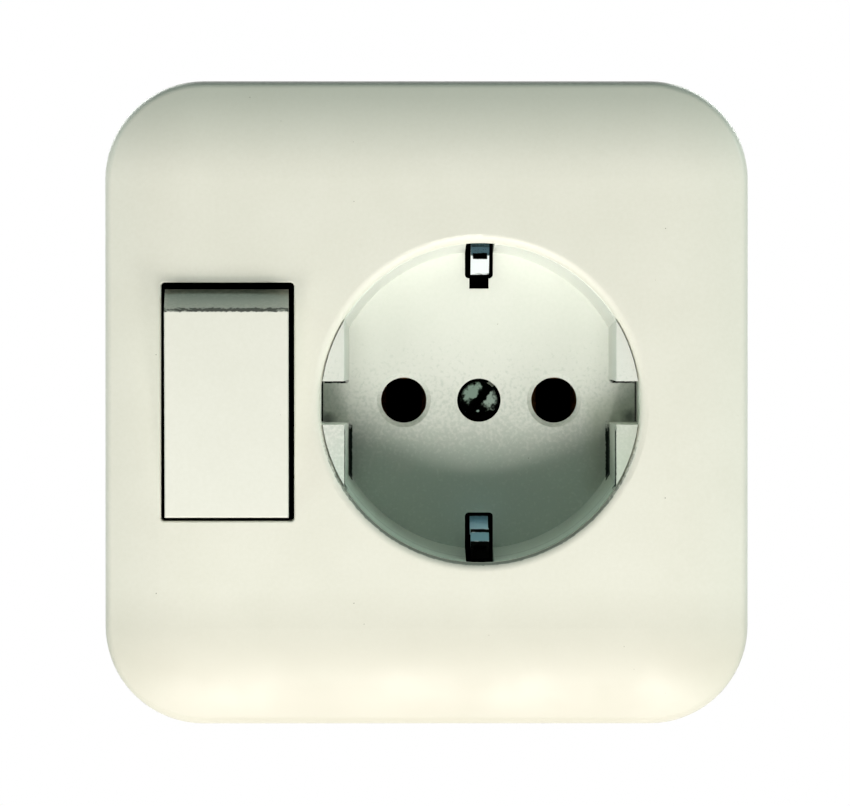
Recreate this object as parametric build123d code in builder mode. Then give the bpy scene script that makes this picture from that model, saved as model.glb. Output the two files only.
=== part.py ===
from build123d import *
from math import cos, radians, sin, sqrt
import os

# Switched socket: an earthed side-contact outlet and a rocker switch under one square cover.
# X runs to the right, Z runs up the wall, and the face looks along -Y.
# The wall plane is y = 0, behind the middle of the cover. All sizes are in millimetres.

# Cover plate: a crowned square shell
plate_size = 80.5
plate_corner_radius = 12.3
plate_height = 9.5
plate_crown_radius = 26.0
plate_edge_radius = 1.4
plate_shell = 2.3
crown_flat_run = 0.25

# Plug well: a round pot with flat ears left and right
well_x = 6.7
well_depth = 17.5
well_mouth_radius = 19.9
well_floor_radius = 18.75
well_hole_radius = 20.0
well_hole_rounding = 1.15
well_floor_thickness = 2.0
pot_radius = 20.7
pot_flange_radius = 21.5
pot_flange_thickness = 2.0
ear_recess = 0.5
ear_gap_mouth = 34.1
ear_gap_floor = 32.8
notch_width = 5.45
notch_reach = 19.7
notch_slit = 0.38
notch_slit_length = 1.5
rim_slit = 0.22
pin_spacing = 19.0
pin_hole_radius = 2.875
pin_hole_chamfer = 0.55
clip_slot_width = 3.55
clip_slot_rounding = 0.5
upper_slot_inner = 15.4
upper_slot_tongue = 14.1
lower_slot_inner = 14.2
screw_boss_radius = 4.5
screw_way_radius = 1.7
counterbore_radius = 2.75

# Collar behind the plate that holds the pot, and the guide frame of the rocker
collar_radius = 21.6
collar_wall = 1.5
collar_back = -3.4
bead_height = 0.5
bead_width = 8.0
frame_wall = 1.2
rib_thickness = 1.2
rib_back = -4.8

# Rocker and its opening in the plate
opening_x = -24.9
opening_width = 16.65
opening_length = 29.84
opening_corner_radius = 0.5
opening_edge_radius = 0.25
middle_z = 0.15
rocker_x = -25.03
rocker_width = 15.5
rocker_face_length = 26.2
rocker_skirt_length = 29.18
rocker_bevel_depth = 7.2
rocker_depth = 7.4
rocker_wall = 1.3
rocker_face_thickness = 1.8
rocker_edge_radius = 0.2
leg_arm = 8.0
rocker_lean = 9.0
rocker_pivot_y = -2.2
rocker_face_ahead = 9.7

# Switch mechanism behind the rocker
mechanism_x = -23.05
axle_radius = 1.0
running_clearance = 0.05
hub_radius = 2.6
hub_width = 5.0
carrier_width = 11.8
carrier_length = 22.0
carrier_thickness = 1.4
cheek_thickness = 1.5
cheek_gap = 5.3
nose_radius = 2.3
nose_bore_radius = 1.65
nose_reach = 7.0
nose_bore_start = 1.4
spring_radius = 1.2
spring_wire_radius = 0.2
spring_pitch = 0.62
plunger_radius = 1.55
plunger_back = 3.9
plunger_shoulder = 7.6
plunger_tip_radius = 1.2
plunger_tip_centre = 8.77
seesaw_lean = -8.0
seesaw_half_length = 7.2
seesaw_front = 0.8
seesaw_thickness = 1.0
seesaw_groove = 0.45
strip_width = 4.0
strip_thickness = 0.8
contact_arm = 6.2
contact_radius = 1.2
contact_height = 0.9
contact_stroke = 2.18
chamber_length = 17.0
chamber_depth = 17.0

# Support ring and insert base
ring_size = 70.0
ring_corner_radius = 8.0
ring_thickness = 1.0
screw_slot_spacing = 60.0
screw_slot_length = 9.0
screw_slot_width = 3.8
base_radius = 28.5
base_depth = 31.0
pocket_radius = 21.2
pocket_depth = 12.5
flange_length = 44.0
flange_height = 2.2
nail_hole_radius = 1.7
nail_hole_place = 28.5
pocket_opening = 19.0
back_chamfer = 1.5
back_recess = 2.0
back_wall = 1.6
partition_x = -12.0
switch_partition_z = -2.05
coring_radius = 2.6
coring_depth = 6.0
coring_places = [(-17.5, 13.5), (-17.5, -13.5), (17.5, 14.0), (-4.5, 12.0), (-8.4, -13.5)]
cheek_foot_y = 2.0
cheek_length = 7.0
cheek_radius = 2.4
seesaw_stop_y = 10.6
seesaw_stop_length = 3.2

# Earth bracket, contact sleeves and terminals
bracket_width = 5.0
bracket_length = 25.0
bracket_front = 11.7
bracket_thickness = 0.8
earth_tail_z = 10.8
clip_width = 2.3
clip_window_width = 1.75
clip_window_height = 1.05
clip_window_rounding = 0.35
clip_window_y = -5.0
bush_radius = 3.0
bush_neck_radius = 2.2
bush_back = 18.5
sleeve_width = 6.4
sleeve_leaf = 0.6
sleeve_half_gap = 2.75
sleeve_back = 25.6
web_front = 19.0
block_length = 6.4
block_breadth = 5.2
block_front = 20.2
block_back = 28.2
wire_hole_radius = 1.5
clamp_screw_radius = 1.25
tail_back = 27.0

# Spreading claws beside the switch, above and below
claw_x = -9.0
claw_width = 6.0
claw_thickness = 1.2
claw_hole_length = 4.3
claw_hole_width = 3.3
claw_heel_y = 23.0
claw_heel_z = 26.0
claw_screw_z = 22.9
claw_groove_width = 8.0
claw_groove_floor = 19.4
claw_groove_back = 27.0

# Screws
cover_screw_radius = 1.48
cover_screw_bore = 1.5
cover_head_radius = 2.35
cover_head_height = 1.5
cover_slot_angle = 52.0
cover_slot_width = 0.9
small_screw_radius = 1.2
small_head_radius = 2.3
small_head_height = 1.4
small_slot_width = 0.7
ring_screw_length = 9.0
clamp_screw_length = 3.0
clamp_gap = 0.4
claw_screw_radius = 1.45
claw_screw_length = 26.0
claw_head_radius = 2.6
claw_head_height = 1.8
claw_slot_width = 0.8
ring_screw_places = [(-14.8, 18.2), (-14.8, -18.2), (12.5, 23.2), (12.5, -23.2)]

# Places worked out from the sizes above
clearance = 0.15
well_floor_y = well_depth - plate_height
pot_back_y = well_floor_y + well_floor_thickness
plate_inside_y = plate_shell - plate_height
screw_seat_y = well_floor_y + 1.6
bead_front = plate_inside_y + pot_flange_thickness + 0.05
bead_back = collar_back - 0.6
pin_places = [(well_x - pin_spacing / 2, 0), (well_x + pin_spacing / 2, 0)]
cheek_offset = (cheek_gap + cheek_thickness) / 2
cheek_places = [mechanism_x - cheek_offset, mechanism_x + cheek_offset]
seesaw_pivot_y = rocker_pivot_y + plunger_tip_centre + plunger_tip_radius + seesaw_front + running_clearance
fixed_contact_y = seesaw_pivot_y + contact_stroke
fixed_leg_z = middle_z - contact_arm + 1.8
sleeve_wing = pin_spacing / 2 + sleeve_half_gap
block_offset = sleeve_wing - (sleeve_leaf + block_breadth) / 2

# Terminal blocks: centre in X and Z, and the way out of their clamping screws
terminals = {
    "line_terminal": ((well_x + block_offset, -12.6), (0, -1)),
    "neutral_terminal": ((well_x - block_offset, -12.6), (0, -1)),
    "earth_terminal": ((well_x, 14.4), (0, 1)),
    "feed_terminal": ((-22.8, middle_z + (strip_thickness + block_breadth) / 2), (-1, 0)),
    "switched_terminal": ((-21.4, fixed_leg_z - (strip_thickness + block_breadth) / 2), (-1, 0)),
}

os.makedirs("parts", exist_ok=True)


def at_depth(y):
    """Plane parallel to the wall at depth y, drawn in X and Z; a positive extrusion comes forward."""
    return Plane.XZ.offset(-y)


def leaning_plane(pivot_y, lean, back):
    """Plane of a leaning piece at a distance behind its pivot axis, drawn in X and along the piece."""
    tilt = radians(lean)
    origin = (0, pivot_y + back * cos(tilt), middle_z + back * sin(tilt))
    return Plane(origin=origin, x_dir=(1, 0, 0), z_dir=(0, -cos(tilt), -sin(tilt)))


def leaning_side(x, pivot_y, lean):
    """Side plane of a leaning piece, drawn backward from its pivot axis and along the piece."""
    tilt = radians(lean)
    return Plane(origin=(x, pivot_y, middle_z), x_dir=(0, cos(tilt), sin(tilt)), z_dir=(1, 0, 0))


def crowned_block(size, corner_radius, height, crown_radius, edge_radius):
    """Rounded square block whose front is flat in the middle and arched down to the rim."""
    flat = size / 2 - corner_radius
    arch_width = corner_radius - crown_flat_run
    drop = crown_radius - sqrt(crown_radius**2 - arch_width**2)

    def border(plane):
        with BuildSketch(plane) as profile:
            with BuildLine():
                start = Line((0, height), (crown_flat_run, height))
                arch = TangentArc(start @ 1, (corner_radius, height - drop), tangent=(1, 0))
                Polyline(arch @ 1, (corner_radius, 0), (0, 0), (0, height))
            make_face()
            outer = profile.vertices().filter_by_position(Axis.X, corner_radius - 0.01, corner_radius + 0.01)
            fillet(outer.sort_by(Axis.Y)[-1], edge_radius)
        return profile.sketch

    with BuildPart() as block:
        with BuildSketch(at_depth(0)):
            Rectangle(flat, flat, align=(Align.MIN, Align.MIN))
        extrude(amount=height)
        extrude(border(Plane(origin=(flat, 0, 0), x_dir=(1, 0, 0), z_dir=(0, 0, -1))), amount=-flat)
        extrude(border(Plane(origin=(0, 0, flat), x_dir=(0, 0, 1), z_dir=(1, 0, 0))), amount=flat)
        corner = border(Plane(origin=(flat, 0, flat), x_dir=(1, 0, 0), z_dir=(0, 0, -1)))
        revolve(corner, axis=Axis((flat, 0, flat), (0, -1, 0)), revolution_arc=90)
        mirror(about=Plane.YZ)
        mirror(about=Plane.XY)
    return block.part


def bent_strip(plane, points, bend_radius, thickness, width):
    """Strip of sheet metal bent along a line of points drawn in its side plane."""
    with BuildPart() as strip:
        with BuildSketch(plane):
            with BuildLine():
                FilletPolyline(*points, radius=bend_radius)
            trace(line_width=thickness)
        extrude(amount=width / 2, both=True)
    return strip.part


def slotted_screw(plane, head_radius, head_height, shank_radius, shank_length, slot_angle, slot_width):
    """Cheese-head screw whose head rises from the plane and whose shank runs behind it."""
    with BuildPart() as screw:
        with BuildSketch(plane):
            Circle(head_radius)
        extrude(amount=head_height)
        rim = screw.edges().sort_by(Axis(plane.origin, plane.z_dir))[-1]
        fillet(rim, 0.15 * head_height)
        with BuildSketch(plane):
            Circle(shank_radius)
        extrude(amount=-shank_length)
        with BuildSketch(plane.offset(head_height)):
            Rectangle(3 * head_radius, slot_width, rotation=slot_angle)
        extrude(amount=-0.55 * head_height, mode=Mode.SUBTRACT)
    return screw.part


# Hollow of the cover plate, which leaves the collar, the rocker frame and the ribs standing
with BuildPart() as plate_hollow:
    add(
        crowned_block(
            plate_size - 2 * plate_shell,
            plate_corner_radius - plate_shell,
            plate_height - plate_shell,
            plate_crown_radius - plate_shell,
            plate_edge_radius,
        )
    )
    with BuildSketch(at_depth(collar_back)):
        with Locations((well_x, 0)):
            Circle(collar_radius + collar_wall)
        with Locations((opening_x, middle_z)):
            Rectangle(opening_width + 2 * frame_wall, opening_length + 2 * frame_wall)
    extrude(amount=plate_height, mode=Mode.SUBTRACT)
    with BuildSketch(at_depth(rib_back)):
        with Locations((well_x, 0), (opening_x, 0)):
            Rectangle(rib_thickness, plate_size)
        with Locations((plate_size / 2, 12), (plate_size / 2, -12)):
            Rectangle(plate_size / 2, rib_thickness)
    extrude(amount=plate_height, mode=Mode.SUBTRACT)

with BuildPart() as cover_plate:
    add(crowned_block(plate_size, plate_corner_radius, plate_height, plate_crown_radius, plate_edge_radius))
    add(plate_hollow.part, mode=Mode.SUBTRACT)
    with BuildSketch(at_depth(0)):
        with Locations((well_x, 0)):
            Circle(well_hole_radius)
    extrude(amount=plate_height, mode=Mode.SUBTRACT)
    hole_rim = cover_plate.edges().filter_by(GeomType.CIRCLE).filter_by_position(Axis.Y, -9.51, -9.49)
    fillet(hole_rim.sort_by(SortBy.LENGTH)[-1], well_hole_rounding)
    with BuildSketch(at_depth(0)):
        with Locations((well_x, 0)):
            Circle(collar_radius)
    extrude(amount=-plate_inside_y, mode=Mode.SUBTRACT)
    with BuildSketch(at_depth(0)):
        with Locations((opening_x, middle_z)):
            RectangleRounded(opening_width, opening_length, opening_corner_radius)
    extrude(amount=2 * plate_height, mode=Mode.SUBTRACT)
    front_edges = cover_plate.edges().filter_by_position(Axis.Y, -9.51, -9.49)
    opening_rim = front_edges.filter_by_position(Axis.X, -34.0, -16.0)
    fillet(opening_rim.filter_by_position(Axis.Z, -16.0, 16.0), opening_edge_radius)
    # Four snap beads inside the collar, behind the flange of the pot
    with BuildSketch(at_depth(bead_back)):
        with Locations((well_x, 0)):
            Rectangle(3 * collar_radius, bead_width, rotation=45)
            Rectangle(3 * collar_radius, bead_width, rotation=-45)
            Circle(collar_radius + 0.2, mode=Mode.INTERSECT)
            Circle(collar_radius - bead_height, mode=Mode.SUBTRACT)
    extrude(amount=bead_back - bead_front)
cover_plate.part.label = "cover_plate"
export_step(cover_plate.part, "parts/cover_plate.step")

# Space inside the plug well: a cone cut off by the flat ears, with a guide notch in each ear
with BuildPart() as well_space:
    wall_slope = (well_mouth_radius - well_floor_radius) / (well_floor_y - plate_inside_y)
    well_top_y = -plate_height
    with BuildSketch(Plane.XY):
        with BuildLine():
            Polyline(
                (0, well_floor_y),
                (well_floor_radius, well_floor_y),
                (well_floor_radius + wall_slope * (well_floor_y - well_top_y), well_top_y),
                (0, well_top_y),
                close=True,
            )
        make_face()
    revolve(axis=Axis.Y)
    with BuildSketch(Plane.XY):
        with BuildLine():
            Polyline(
                (-ear_gap_floor / 2, well_floor_y),
                (ear_gap_floor / 2, well_floor_y),
                (ear_gap_mouth / 2, well_top_y),
                (-ear_gap_mouth / 2, well_top_y),
                close=True,
            )
        make_face()
    extrude(amount=2 * well_mouth_radius, both=True, mode=Mode.INTERSECT)
    with BuildSketch(at_depth(well_floor_y)):
        Rectangle(2 * notch_reach, notch_width)
    extrude(amount=well_depth)

with BuildPart() as socket_well:
    with BuildSketch(at_depth(pot_back_y)):
        with Locations((well_x, 0)):
            Circle(pot_radius)
    extrude(amount=pot_back_y - plate_inside_y)
    with BuildSketch(at_depth(plate_inside_y + pot_flange_thickness)):
        with Locations((well_x, 0)):
            Circle(pot_flange_radius)
    extrude(amount=pot_flange_thickness)
    with BuildSketch(at_depth(plate_inside_y)):
        with Locations((well_x, 0)):
            Circle(well_mouth_radius)
    extrude(amount=plate_height + plate_inside_y - ear_recess)
    add(well_space.part.moved(Location((well_x, 0, 0))), mode=Mode.SUBTRACT)
    # Boss behind the floor for the cover screw, and its counterbored hole
    with BuildSketch(at_depth(bracket_front)):
        with Locations((well_x, 0)):
            Circle(screw_boss_radius)
    extrude(amount=bracket_front - pot_back_y)
    with BuildSketch(at_depth(screw_seat_y)):
        with Locations((well_x, 0)):
            Circle(counterbore_radius)
    extrude(amount=screw_seat_y - well_floor_y, mode=Mode.SUBTRACT)
    with BuildSketch(at_depth(bracket_front)):
        with Locations((well_x, 0)):
            Circle(screw_way_radius)
    extrude(amount=bracket_front - well_floor_y, mode=Mode.SUBTRACT)
    with BuildSketch(at_depth(pot_back_y)):
        with Locations(*pin_places):
            Circle(pin_hole_radius)
    extrude(amount=well_floor_thickness, mode=Mode.SUBTRACT)
    pin_rims = socket_well.edges().filter_by(GeomType.CIRCLE)
    pin_rims = pin_rims.filter_by_position(Axis.Y, well_floor_y - 0.01, well_floor_y + 0.01)
    chamfer([e for e in pin_rims if abs(e.radius - pin_hole_radius) < 0.01], pin_hole_chamfer)
    # Slots for the earth clips, through the floor and the wall
    with BuildSketch(at_depth(pot_back_y)):
        for side, inner in ((1, upper_slot_inner), (-1, lower_slot_inner)):
            outer = pot_radius + clip_slot_rounding
            with Locations((well_x, side * (inner + outer) / 2)):
                RectangleRounded(clip_slot_width, outer - inner, clip_slot_rounding)
        with Locations((well_x, (upper_slot_tongue + pot_radius) / 2)):
            Rectangle(clip_width + clearance, pot_radius - upper_slot_tongue)
    extrude(amount=pot_back_y - plate_inside_y, mode=Mode.SUBTRACT)
    # Fine slits at the upper corner and the outer end of each notch, right through the floor
    slit_end = notch_reach + rim_slit
    slit_start = slit_end - notch_slit_length
    with BuildSketch(at_depth(pot_back_y)):
        for side in (1, -1):
            with Locations((well_x + side * (slit_start + slit_end) / 2, (notch_width - notch_slit) / 2)):
                Rectangle(slit_end - slit_start, notch_slit)
            with Locations((well_x + side * (notch_reach + rim_slit / 2), 0)):
                Rectangle(rim_slit, notch_width)
    extrude(amount=pot_back_y + plate_height, mode=Mode.SUBTRACT)
socket_well.part.label = "socket_well"
export_step(socket_well.part, "parts/socket_well.step")

# Slotted screw in the middle of the well, which holds the pot and with it the cover
with BuildPart() as cover_screw:
    centred_screw = slotted_screw(
        at_depth(screw_seat_y),
        cover_head_radius,
        cover_head_height,
        cover_screw_radius,
        bush_back - 1.0 - screw_seat_y,
        cover_slot_angle,
        cover_slot_width,
    )
    add(centred_screw.moved(Location((well_x, 0, 0))))
cover_screw.part.label = "cover_screw"
export_step(cover_screw.part, "parts/cover_screw.step")


def rocker_outline(face_back, shrink):
    """Side profile of the rocker, its end walls sloping out towards the skirt."""
    skirt_back = rocker_depth - rocker_face_ahead
    bevel_back = rocker_bevel_depth - rocker_face_ahead
    half_face = rocker_face_length / 2 - shrink
    half_skirt = rocker_skirt_length / 2 - shrink
    with BuildLine() as outline:
        Polyline(
            (face_back, half_face),
            (bevel_back, half_skirt),
            (skirt_back, half_skirt),
            (skirt_back, -half_skirt),
            (bevel_back, -half_skirt),
            (face_back, -half_face),
            close=True,
        )
    return outline.line


# Rocker: a shell with sloping ends, leaning with its upper end out as in the off position
with BuildPart() as rocker:
    with BuildSketch(leaning_side(rocker_x, rocker_pivot_y, rocker_lean)):
        add(rocker_outline(-rocker_face_ahead, 0))
        make_face()
    extrude(amount=rocker_width / 2, both=True)
    front = rocker.faces().sort_by(Axis.Y)[0]
    fillet(front.edges(), rocker_edge_radius)
    with BuildSketch(leaning_side(rocker_x, rocker_pivot_y, rocker_lean)):
        add(rocker_outline(rocker_face_thickness - rocker_face_ahead, rocker_wall))
        make_face()
    extrude(amount=rocker_width / 2 - rocker_wall, both=True, mode=Mode.SUBTRACT)
    # Two snap legs that go through the carrier
    underside = rocker_face_thickness - rocker_face_ahead
    with BuildSketch(leaning_side(rocker_x, rocker_pivot_y, rocker_lean)):
        for side in (1, -1):
            with BuildLine():
                Polyline(
                    (underside - 0.5, side * (leg_arm - 0.6)),
                    (underside + 2.9, side * (leg_arm - 0.6)),
                    (underside + 2.6, side * (leg_arm + 0.6)),
                    (underside + 1.6, side * (leg_arm + 1.0)),
                    (underside + 1.5, side * (leg_arm + 0.4)),
                    (underside - 0.5, side * (leg_arm + 0.4)),
                    close=True,
                )
            make_face()
    extrude(amount=strip_width / 2, both=True)
rocker.part.label = "rocker"
export_step(rocker.part, "parts/rocker.step")

# Carrier of the rocker: a plate under the cap, a hub on the axle and a nose for the plunger
with BuildPart() as rocker_carrier:
    with BuildSketch(leaning_plane(rocker_pivot_y, rocker_lean, underside + carrier_thickness)):
        with Locations((rocker_x, 0)):
            RectangleRounded(carrier_width, carrier_length, 1.0)
        with Locations((rocker_x, leg_arm), (rocker_x, -leg_arm)):
            Rectangle(strip_width + 0.4, 2.4, mode=Mode.SUBTRACT)
    extrude(amount=carrier_thickness)
    with BuildSketch(leaning_plane(rocker_pivot_y, rocker_lean, 0)):
        with Locations((mechanism_x, 0)):
            Rectangle(hub_width, 2 * hub_radius)
    extrude(amount=-underside - carrier_thickness)
    with BuildSketch(leaning_side(mechanism_x, rocker_pivot_y, rocker_lean)):
        Circle(hub_radius)
    extrude(amount=hub_width / 2, both=True)
    with BuildSketch(leaning_plane(rocker_pivot_y, rocker_lean, nose_reach)):
        with Locations((mechanism_x, 0)):
            Circle(nose_radius)
    extrude(amount=nose_reach)
    with BuildSketch(leaning_plane(rocker_pivot_y, rocker_lean, nose_reach)):
        with Locations((mechanism_x, 0)):
            Circle(nose_bore_radius)
    extrude(amount=nose_reach - nose_bore_start, mode=Mode.SUBTRACT)
    with BuildSketch(leaning_side(mechanism_x, rocker_pivot_y, rocker_lean)):
        Circle(axle_radius + running_clearance)
    extrude(amount=hub_width, both=True, mode=Mode.SUBTRACT)
rocker_carrier.part.label = "rocker_carrier"
export_step(rocker_carrier.part, "parts/rocker_carrier.step")

with BuildPart() as rocker_axle:
    with BuildSketch(Plane.YZ.offset(cheek_places[0] - cheek_thickness / 2)):
        with Locations((rocker_pivot_y, middle_z)):
            Circle(axle_radius)
    extrude(amount=cheek_gap + 2 * cheek_thickness)
rocker_axle.part.label = "rocker_axle"
export_step(rocker_axle.part, "parts/rocker_axle.step")

# Coil spring in the bore of the nose, between its blind end and the plunger
with BuildPart() as plunger_spring:
    spring_front = leaning_plane(rocker_pivot_y, rocker_lean, plunger_back - spring_wire_radius)
    with BuildLine():
        coil = Helix(
            pitch=spring_pitch,
            height=plunger_back - nose_bore_start - 2 * spring_wire_radius,
            radius=spring_radius,
            center=spring_front.from_local_coords((mechanism_x, 0, 0)),
            direction=spring_front.z_dir,
        )
    with BuildSketch(Plane(origin=coil @ 0, z_dir=coil % 0)):
        Circle(spring_wire_radius)
    sweep(path=coil, is_frenet=True)
plunger_spring.part.label = "plunger_spring"
export_step(plunger_spring.part, "parts/plunger_spring.step")

with BuildPart() as plunger:
    with BuildSketch(leaning_side(mechanism_x, rocker_pivot_y, rocker_lean)):
        with BuildLine():
            shoulder = Polyline(
                (plunger_back, 0),
                (plunger_back, plunger_radius),
                (plunger_shoulder, plunger_radius),
                (plunger_shoulder + 0.4, plunger_tip_radius),
                (plunger_tip_centre, plunger_tip_radius),
            )
            tip = RadiusArc(shoulder @ 1, (plunger_tip_centre + plunger_tip_radius, 0), plunger_tip_radius)
            Line(tip @ 1, shoulder @ 0)
        make_face()
    nose_axis = leaning_side(mechanism_x, rocker_pivot_y, rocker_lean)
    revolve(axis=Axis(nose_axis.origin, nose_axis.x_dir))
plunger.part.label = "plunger"
export_step(plunger.part, "parts/plunger.step")

# Contact seesaw, rocking on the edge of the feed bracket, with a silver contact at its lower end
with BuildPart() as contact_seesaw:
    with BuildSketch(leaning_side(mechanism_x, seesaw_pivot_y, seesaw_lean)):
        with Locations((seesaw_thickness / 2 - seesaw_front, 0)):
            Rectangle(seesaw_thickness, 2 * seesaw_half_length)
        Circle(seesaw_groove, mode=Mode.SUBTRACT)
    extrude(amount=strip_width / 2, both=True)
contact_seesaw.part.label = "contact_seesaw"
export_step(contact_seesaw.part, "parts/contact_seesaw.step")

with BuildPart() as moving_contact:
    contact_back = seesaw_thickness - seesaw_front + contact_height
    with BuildSketch(leaning_plane(seesaw_pivot_y, seesaw_lean, contact_back)):
        with Locations((mechanism_x, -contact_arm)):
            Circle(contact_radius)
    extrude(amount=contact_height)
    fillet(moving_contact.edges().sort_by(Axis.Y)[-1], 0.3)
moving_contact.part.label = "moving_contact"
export_step(moving_contact.part, "parts/moving_contact.step")

with BuildPart() as fixed_contact:
    with BuildSketch(at_depth(fixed_contact_y + strip_thickness)):
        with Locations((mechanism_x, middle_z - contact_arm + 0.2)):
            Circle(contact_radius)
    extrude(amount=strip_thickness)
    fillet(fixed_contact.edges().sort_by(Axis.Y)[0], 0.3)
fixed_contact.part.label = "fixed_contact"
export_step(fixed_contact.part, "parts/fixed_contact.step")

# Bent strip that carries the fixed contact back to the switched terminal
fixed_strip_y = fixed_contact_y + 1.5 * strip_thickness
with BuildPart() as contact_strip:
    add(
        bent_strip(
            Plane.YZ.offset(mechanism_x),
            [(fixed_strip_y, -8.0), (fixed_strip_y, fixed_leg_z), (tail_back, fixed_leg_z)],
            0.5,
            strip_thickness,
            strip_width,
        )
    )
contact_strip.part.label = "contact_strip"
export_step(contact_strip.part, "parts/contact_strip.step")

# Upright bracket whose rounded edge is the pivot of the seesaw and whose tail is the feed
with BuildPart() as feed_bracket:
    with BuildSketch(Plane.YZ.offset(mechanism_x)):
        with BuildLine():
            Polyline(
                (seesaw_pivot_y, middle_z + strip_thickness / 2),
                (tail_back, middle_z + strip_thickness / 2),
                (tail_back, middle_z - strip_thickness / 2),
                (seesaw_pivot_y, middle_z - strip_thickness / 2),
            )
            ThreePointArc(
                (seesaw_pivot_y, middle_z - strip_thickness / 2),
                (seesaw_pivot_y - strip_thickness / 2, middle_z),
                (seesaw_pivot_y, middle_z + strip_thickness / 2),
            )
        make_face()
    extrude(amount=strip_width / 2, both=True)
feed_bracket.part.label = "feed_bracket"
export_step(feed_bracket.part, "parts/feed_bracket.step")

# Stamped steel ring that lies on the wall, with slots for the two screws of the flush box
with BuildPart() as support_ring:
    with BuildSketch(at_depth(0)):
        RectangleRounded(ring_size, ring_size, ring_corner_radius)
        with Locations((well_x, 0)):
            Circle(pocket_radius + 0.1, mode=Mode.SUBTRACT)
        with Locations((mechanism_x, middle_z)):
            Rectangle(cheek_gap + 2 * cheek_thickness + 0.8, chamber_length + 1, mode=Mode.SUBTRACT)
        with Locations((0, screw_slot_spacing / 2), (0, -screw_slot_spacing / 2)):
            SlotOverall(screw_slot_length, screw_slot_width, mode=Mode.SUBTRACT)
        with Locations((claw_x, claw_screw_z), (claw_x, -claw_screw_z)):
            Circle(claw_screw_radius, mode=Mode.SUBTRACT)
        with Locations(*ring_screw_places):
            Circle(small_screw_radius, mode=Mode.SUBTRACT)
        with GridLocations(2 * nail_hole_place, 2 * nail_hole_place, 2, 2):
            Circle(nail_hole_radius, mode=Mode.SUBTRACT)
    extrude(amount=ring_thickness)
    # Stiffening flanges, bent forward along the left and right edges
    with BuildSketch(Plane.XY) as flange:
        with Locations((ring_size / 2, -ring_thickness)):
            Rectangle(ring_thickness, flange_height, align=(Align.MAX, Align.MAX))
        mirror(about=Plane.YZ)
    extrude(amount=flange_length / 2, both=True)
    outer_bends = support_ring.edges().filter_by(Axis.Z).filter_by_position(Axis.Y, -0.01, 0.01)
    fillet(outer_bends.sort_by(SortBy.LENGTH)[-2:], 0.8 * ring_thickness)
support_ring.part.label = "support_ring"
export_step(support_ring.part, "parts/support_ring.step")

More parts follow.
